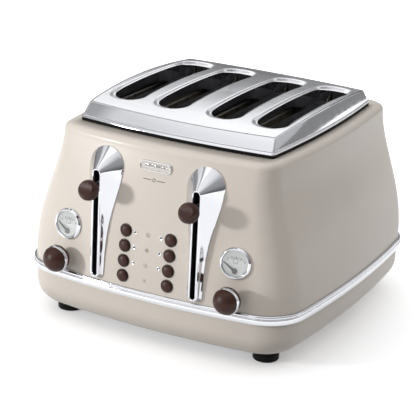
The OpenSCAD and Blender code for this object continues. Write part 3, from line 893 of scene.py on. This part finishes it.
def lever_knob(side_name):
    """A squat ball with a thumb scoop across its upper front."""
    bm = bmesh.new()
    bmesh.ops.create_uvsphere(bm, u_segments=96, v_segments=64, radius=LEVER_KNOB_R)
    scoop_r = 13.0
    scoop = Vector((0, -LEVER_KNOB_R - 7.5, 9.2))
    for v in bm.verts:
        gap = Vector((0, v.co.y - scoop.y, v.co.z - scoop.z))
        if gap.length < scoop_r:
            pushed = scoop + gap.normalized() * scoop_r
            v.co = Vector((v.co.x, pushed.y, pushed.z))
    moved(bm, Matrix.Translation((SIDES[side_name] * LEVER_X, LEVER_KNOB_Y, LEVER_Z)))
    name = f"lever_knob_{side_name}"
    place(name + "_ball", bm, [BROWN], f"lever_{side_name}", "brown_plastic", name, sharp=40)


# ---- browning dials ----


def browning_knob(side_name):
    """A ball on a thin stem, with a chromed ring let into it just before its widest part."""
    spot = straight_on(SIDES[side_name] * KNOB_X, KNOB_Z) @ Matrix.Translation((0, 0, KNOB_REACH))

    def ball(r, start, end, steps):
        return arc(0, 0, r, math.degrees(math.asin(start / r)), math.degrees(math.asin(end / r)), steps)

    neck = RING_INNER - 0.05
    ring_end = RING_FROM + RING_THICK
    ease = 0.5
    back_r = math.sqrt(KNOB_R**2 - BALL_BACK**2)
    shaft_r, stem_r = 3, 4
    shaft_end, stem_end = -KNOB_REACH - 8, -KNOB_REACH + 0.8
    grip = [(0, shaft_end), (shaft_r, shaft_end), (shaft_r, stem_end)]
    grip += [(stem_r, stem_end), (stem_r, BALL_BACK)]
    grip += arc(back_r - ease, BALL_BACK + ease, ease, 270, 345, 4)
    grip += ball(KNOB_R, BALL_BACK + ease + 0.3, RING_FROM, 6)
    grip += [(neck, RING_FROM), (neck, ring_end)] + ball(KNOB_R, ring_end, KNOB_R, 24)
    grip[-1] = (0, KNOB_R)
    body = f"browning_dial_{side_name}"
    name = f"browning_knob_{side_name}"
    place(name + "_grip", moved(turned(grip), spot), [BROWN], body, "brown_plastic", name)
    proud = KNOB_R + 0.1
    ring = [(RING_INNER, RING_FROM), (proud - 0.4, RING_FROM)]
    ring += ball(proud, RING_FROM + 0.25, ring_end - 0.25, 8)
    ring += [(math.sqrt(proud**2 - ring_end**2) - 0.3, ring_end), (RING_INNER, ring_end)]
    name = f"knob_ring_{side_name}"
    place(name + "_band", moved(turned(ring, closed=True), spot), [CHROME], body, "polished_chrome", name)
    mark = block((1.1, 0.6, RING_THICK), (0, KNOB_R - 0.25, RING_FROM + RING_THICK / 2), 0.15)
    mark = moved(mark, spot @ Matrix.Rotation(math.radians(20), 4, "Z"))
    place(f"knob_mark_{side_name}", mark, [NYLON], body, "black_plastic")


def gauge(side_name):
    """A bezel, a printed dial, a needle on a hub and a clear lens."""
    spot = on_face(SIDES[side_name] * DIAL_X, GAUGE_Z)
    bezel = [(12.0, -6), (12.9, -6), (12.9, 0.2), (14.1, 0.2)]
    bezel += arc(13.9, 0.9, 0.6, -60, 60, 6)
    bezel += arc(12.9, 2.2, 0.9, 40, 150, 8)
    bezel += [(12.0, 1.6), (12.0, 0.5)]
    name = f"gauge_bezel_{side_name}"
    rim = moved(turned(bezel, closed=True), spot)
    place(name + "_rim", rim, [CHROME], "housing", "polished_chrome", name)

    name = f"gauge_dial_{side_name}"
    plate = turned([(0, -0.2), (12.3, -0.2), (12.3, 0.3), (12.2, 0.4), (0, 0.4)])
    place(name + "_plate", moved(plate, spot), [DIAL], "housing", "dial_face", name)
    pivot = Matrix.Translation((0, -NEEDLE_DROP, 0.4))
    marks = []
    for i in range(11):
        long_mark = i % 2 == 0
        size = (0.55, 1.7, 0.12) if long_mark else (0.3, 1.1, 0.12)
        tick = block(size, (0, 12.9 - size[1] / 2, 0.03))
        marks.append(moved(tick, pivot @ Matrix.Rotation(math.radians(NEEDLE_REST - 10 * i), 4, "Z")))
    crust = [(-2.0, -1.6), (-2.0, 1.0)] + arc(-1.1, 1.5, 1.1, 200, 70, 6)
    crust += arc(1.1, 1.5, 1.1, 110, -20, 6) + [(2.0, 1.0), (2.0, -1.6), (-2.0, -1.6)]
    marks.append(moved(stroke(crust, 0.35, 0.06), Matrix.Translation((0, 1.8, 0.38))))
    place(f"gauge_marks_{side_name}", moved(joined(marks), spot), [DARK_INK], "housing", "dial_face")

    hub = turned([(0, 0), (2.5, 0), (2.5, 0.6), (2.2, 0.9), (0, 1.0)], 32)
    blade = block((1, 1, 0.4), (0, 0.5, 0.35))
    for v in blade.verts:
        tip = v.co.y > 0.5
        v.co.x *= 0.7 if tip else 2.6
        v.co.y = 13.0 if tip else 0.0
    needle = joined([hub, blade])
    turn = Matrix.Rotation(math.radians(NEEDLE_REST), 4, "Z")
    needle = moved(needle, Matrix.Translation((0, -NEEDLE_DROP, 0.75)) @ turn)
    name = f"gauge_needle_{side_name}"
    place(name + "_pointer", moved(needle, spot), [DARK_INK], f"needle_{side_name}", "needle_paint", name)

    dome = arc(0, 2.0 - 60.0, 61.0, 90, 90 - math.degrees(math.asin(12.0 / 61.0)), 10)
    dome[0] = (0, 3.0)
    lens = dome + [(12.0, 1.4)] + [(0, 2.3)]
    name = f"gauge_lens_{side_name}"
    place(name + "_cover", moved(turned(lens), spot), [GLASS], "housing", "lens_glass", name)


# ---- buttons, lights and marks ----


def push_button(side_name, row):
    """A domed button with a soft edge."""
    spot = on_face(SIDES[side_name] * BUTTON_X, BUTTON_ZS[row - 1])
    profile = [(0, -10.5), (BUTTON_R - 0.1, -10.5), (BUTTON_R - 0.1, 1.2)]
    profile += arc(BUTTON_R - 1.7, 1.2, 1.6, 0, 62, 8)
    profile += [(2.6, 3.25), (1.4, 3.45), (0, 3.5)]
    name = f"button_{side_name}_{row}"
    cap = moved(turned(profile, 48), spot)
    place(name + "_cap", cap, [BROWN], f"push_{side_name}_{row}", "brown_plastic", name)


def button_bezels():
    rings = []
    for side in SIDES.values():
        for z in BUTTON_ZS:
            profile = [(BUTTON_R + 0.15, -3), (6.0, -3), (6.0, 0.15), (6.15, 0.3)]
            profile += [(6.0, 0.45), (5.7, 0.5), (BUTTON_R + 0.15, 0.35)]
            rings.append(moved(turned(profile, 48, closed=True), on_face(side * BUTTON_X, z)))
    place("button_bezel_rings", joined(rings), [NYLON], "housing", "black_plastic", "button_bezels")


def indicator_lights():
    rims, lenses = [], []
    for side in SIDES.values():
        for z in BUTTON_ZS[1:]:
            spot = on_face(side * LIGHT_X, z)
            rim = [(1.05, -2), (1.55, -2), (1.55, 0.1), (1.75, 0.1)] + arc(1.5, 0.25, 0.3, -20, 110, 6)
            rims.append(moved(turned(rim + [(1.05, 0.4)], 32, closed=True), spot))
            lens = [(0, -2), (1.05, -2), (1.05, 0.3), (0.75, 0.55), (0.4, 0.65), (0, 0.7)]
            lenses.append(moved(turned(lens, 32), spot))
    place("indicator_light_rims", joined(rims), [CHROME], "housing", "polished_chrome")
    place("indicator_light_lenses", joined(lenses), [LAMP], "housing", "lamp_lens", "indicator_lights")


def ring_mark():
    return [stroke(arc(0, 0, 1.9, 0, 360, 32), 0.5, 0.05), stroke(arc(0, 0, 0.7, 0, 360, 20), 0.35, 0.05)]


def frost_mark():
    parts = []
    for i in range(3):
        turn = Matrix.Rotation(math.radians(60 * i), 4, "Z")
        parts.append(moved(stroke([(-2.1, 0), (2.1, 0)], 0.4, 0.05), turn))
        for way in (-1, 1):
            fork = [(way * 1.9, 0.65), (way * 1.25, 0), (way * 1.9, -0.65)]
            parts.append(moved(stroke(fork, 0.3, 0.05), turn))
    return parts


def warmth_mark():
    wave = [(0.45 * math.sin(math.radians(30 * i)), -1.9 + 3.8 * i / 12) for i in range(13)]
    return [stroke([(x + gap, y) for x, y in wave], 0.42, 0.05) for gap in (-1.5, 0, 1.5)]


def stop_mark():
    return [
        stroke([(-1.5, -1.5), (1.5, 1.5)], 0.5, 0.05),
        stroke([(-1.5, 1.5), (1.5, -1.5)], 0.5, 0.05),
    ]


def panel_marks():
    """A plain sign beside each row of buttons: stop, warm up, frozen bread and ring shaped bread."""
    parts = []
    for z, make in zip(BUTTON_ZS, (stop_mark, warmth_mark, frost_mark, ring_mark)):
        spot = on_face(0, z) @ Matrix.Translation((0, 0, 0.02))
        parts += [moved(part, spot) for part in make()]
    place("panel_marks", joined(parts), [PALE_INK], "housing", "needle_paint")


def badge():
    """An oval plate with a raised edge and upright flutes, and a plain ring between two lines below it."""
    spot = on_face(0, BADGE_Z)
    frame_profile = ((0, -0.3), (0, 0.9), (0.25, 1.35), (0.7, 1.55), (1.15, 1.35), (1.4, 0.9), (1.4, 0.4))
    rings = [rounded_outline(16 - inset, 4.75 - inset, 4.7 - inset, h, 12) for inset, h in frame_profile]
    parts = [wrapped(rings, closed=True)]
    for i in range(-6, 7):
        flute = bmesh.new()
        bmesh.ops.create_uvsphere(flute, u_segments=16, v_segments=10, radius=1)
        size = Matrix.Diagonal((0.55, 2.6, 0.5, 1))
        parts.append(moved(flute, Matrix.Translation((i * 1.75, 0, 0.75)) @ size))
    place("badge_frame", moved(joined(parts), spot), [CHROME], "housing", "polished_chrome", "badge")
    plate = wrapped([rounded_outline(s, s - 11.25, s - 11.3, h, 12) for s, h in ((15.2, -0.2), (15.2, 0.7))])
    bmesh.ops.holes_fill(plate, edges=[e for e in plate.edges if e.is_boundary], sides=0)
    bmesh.ops.recalc_face_normals(plate, faces=plate.faces)
    place("badge_plate", moved(plate, spot), [PAINT], "housing", "painted_body")

    below = on_face(-0.5, 156) @ Matrix.Translation((0, 0, 0.02))
    lines = [stroke([(way * 2.8, 0), (way * 11, 0)], 0.6, 0.05) for way in (-1, 1)]
    ornament = joined(lines + [stroke(arc(0, 0, 1.4, 0, 360, 24), 0.6, 0.05)])
    place("front_ornament", moved(ornament, below), [DARK_INK], "housing", "needle_paint")


# ---- underside and rear ----


def foot(name, sx, sy):
    """A rubber foot with a rounded tread edge and a groove under its collar."""
    profile = [(0, 0), (FOOT_R - 3.2, 0), (FOOT_R - 3.2, 0.8), (FOOT_R - 2.6, 0.8), (FOOT_R - 2.6, 0.05)]
    profile += arc(FOOT_R - 2.0, 2.0, 2.0, 280, 360, 6)
    profile += [(FOOT_R, 7.0), (FOOT_R - 0.6, 7.3), (FOOT_R - 0.6, 7.9), (FOOT_R, 8.2)]
    profile += [(FOOT_R, BASE_Z + 0.3), (0, BASE_Z + 0.3)]
    at = Matrix.Translation((sx * FOOT_X, sy * FOOT_Y, 0))
    place(name + "_pad", moved(turned(profile, 48), at), [RUBBER], "housing", "black_rubber", name)


def finish_frame_nodes():
    """The parts of the frame that stay as they are take their finishes."""
    finishes = {"guide_rods": WIRE, "heater_cards": MICA, "heater_wires": ELEMENT}
    # The top seal is a black frame filling the gap under the cover's edge; its black rubber is painted shade
    # in that gap.
    finishes |= {"top_seal": RUBBER, "control_board": BOARD, "cord_gland": NYLON}
    finishes |= dict.fromkeys(("base_plate", "base_screws", "latch_magnets"), STEEL)
    finishes |= dict.fromkeys(("slot_liners", "front_bulkhead", "rear_bulkhead", "heat_shields"), HEATED)
    for side in SIDES:
        finishes[f"carriage_{side}"] = STEEL
        finishes[f"bread_rack_{side}"] = HEATED
        finishes[f"lift_spring_{side}"] = WIRE
        finishes[f"crumb_tray_{side}"] = STEEL
        finishes[f"bread_guide_{side}_outer"] = WIRE
        finishes[f"bread_guide_{side}_inner"] = WIRE
    for name, finish in finishes.items():
        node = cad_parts[name]
        node.data.materials.clear()
        node.data.materials.append(finish)


upper_shell()
base_shell()
trim_band()
top_cover()
for side_name in SIDES:
    escutcheon(side_name)
    lever_knob(side_name)
    browning_knob(side_name)
    gauge(side_name)
    for row in range(1, len(BUTTON_ZS) + 1):
        push_button(side_name, row)
button_bezels()
indicator_lights()
panel_marks()
badge()
for front_name, sy in (("front", -1), ("rear", 1)):
    for side_name, sx in SIDES.items():
        foot(f"foot_{front_name}_{side_name}", sx, sy)
finish_frame_nodes()


# ---- studio ----


def camera():
    """Looks down on the front right corner, a little tilted."""
    azimuth, elevation, roll = (math.radians(a) for a in (27.44, 19.65, 2.82))
    distance, target = 1.6624, Vector((-0.01369, 0.00389, 0.08928))
    back = Vector((math.sin(azimuth), -math.cos(azimuth), math.tan(elevation))).normalized()
    level = Vector((math.cos(azimuth), math.sin(azimuth), 0))
    upright = back.cross(level)
    right = level * math.cos(roll) + upright * math.sin(roll)
    up = upright * math.cos(roll) - level * math.sin(roll)
    data = bpy.data.cameras.new("camera")
    data.sensor_width = 36
    data.lens = 150.39
    data.clip_start, data.clip_end = 0.1, 30
    seer = bpy.data.objects.new("camera", data)
    place_at = Matrix((right, up, back)).transposed().to_4x4()
    place_at.translation = target + back * distance
    seer.matrix_world = place_at
    bpy.context.scene.collection.objects.link(seer)
    bpy.context.scene.camera = seer


def area_light(name, at, aim, size, power, colour="#FFFFFF"):
    data = bpy.data.lights.new(name, "AREA")
    data.shape = "RECTANGLE"
    data.size, data.size_y = size
    data.energy = power
    data.color = linear(colour)[:3]
    lamp = bpy.data.objects.new(name, data)
    lamp.location = at
    lamp.rotation_mode = "QUATERNION"
    lamp.rotation_quaternion = (Vector(aim) - Vector(at)).to_track_quat("-Z", "Y")
    bpy.context.scene.collection.objects.link(lamp)


def floor():
    """A pale sweep of matt board that glows a little, so that only the soft shadow shows on it."""
    made, tree, bsdf, coords = material("white_board", Roughness=0.9, Specular_IOR_Level=0.1)
    tone = noise(tree, coords, 400)
    tree.links.new(blend_colours(tree, tone, "#F4F4F4", "#F6F6F6"), bsdf.inputs["Base Color"])
    bsdf.inputs["Emission Color"].default_value = (1, 1, 1, 1)
    about = add(tree, "Mapping", {"Vector": coords, "Location": (0, 0.05, 0)}).outputs[0]
    reach = add(tree, "VectorMath", {0: about}, operation="LENGTH").outputs["Value"]
    near, far = ramp(tree, reach, 0.26, 0.55, 0.15, 0.3), ramp(tree, reach, 0, 0.5, 0.5, 1.4)
    glow = add(tree, "Math", {0: near, 1: far}).outputs[0]
    tree.links.new(glow, bsdf.inputs["Emission Strength"])
    bm = bmesh.new()
    bmesh.ops.create_circle(bm, cap_ends=True, segments=96, radius=2.4)
    mesh = bpy.data.meshes.new("floor")
    bm.to_mesh(mesh)
    bm.free()
    mesh.materials.append(made)
    board = bpy.data.objects.new("floor", mesh)
    board.visible_diffuse = False
    bpy.context.scene.collection.objects.link(board)


def sky():
    """A studio with a grey horizon and two banks of white light, parted by a dark seam overhead."""
    world = bpy.data.worlds.new("studio")
    bpy.context.scene.world = world
    world.use_nodes = True
    tree = world.node_tree
    tree.nodes.clear()
    coords = add(tree, "TexCoord").outputs["Generated"]
    up = add(tree, "SeparateXYZ", {0: coords}).outputs["Z"]
    level = add(tree, "MapRange", {"Value": up, "From Min": -1.0}).outputs[0]
    grade = add(tree, "ValToRGB", {"Fac": level})
    stops = grade.color_ramp.elements
    stops[0].position, stops[0].color = 0.0, linear("#888888")
    stops[1].position, stops[1].color = 1.0, linear("#FFFFFF")
    levels = [(0.495, "#888888"), (0.5, "#5B5B5C"), (0.56, "#6D6D6E")]
    levels += [(0.66, "#909091"), (0.84, "#A2A2A3"), (0.93, "#E3E3E4")]
    for at, colour in levels:
        stop = stops.new(at)
        stop.color = linear(colour)
    across = (0.683, -0.653, 0.329)  # the seam's plane is square to this
    off = add(tree, "VectorMath", {0: coords, 1: across}, operation="DOT_PRODUCT").outputs["Value"]
    off = add(tree, "Math", {0: off}, operation="ABSOLUTE").outputs[0]
    seam = ramp(tree, off, 0.03, 1, 0.05, 0.1)
    low = ramp(tree, up, 1, 0, 0.15, 0.3)
    kept = add(tree, "Math", {0: seam, 1: low}, operation="MAXIMUM").outputs[0]
    lit = add(tree, "VectorMath", {0: grade.outputs[0], 3: kept}, operation="SCALE").outputs[0]
    shine = add(tree, "Background", {"Color": lit, "Strength": 1.3})
    out = add(tree, "OutputWorld")
    tree.links.new(shine.outputs[0], out.inputs[0])


camera()
floor()
sky()
AIM = (0, -0.05, 0.1)
area_light("key", (-0.575, -0.8125, 0.3125), AIM, (0.09, 0.09), 4.1)
area_light("front_box", (-0.95, -1.15, 1.3), AIM, (2.6, 2.3), 9.5)
area_light("far_box", (-0.45, -2.1, 1.0), AIM, (1.8, 1.6), 4.2)
area_light("back_box", (-0.95, 1.75, 1.5), AIM, (1.8, 0.9), 4.6)
area_light("right_box", (1.3, 1.4, 1.0), AIM, (2.2, 1.8), 6.3)
scene = bpy.context.scene
scene.view_settings.view_transform = "Standard"
scene.view_settings.look = "None"
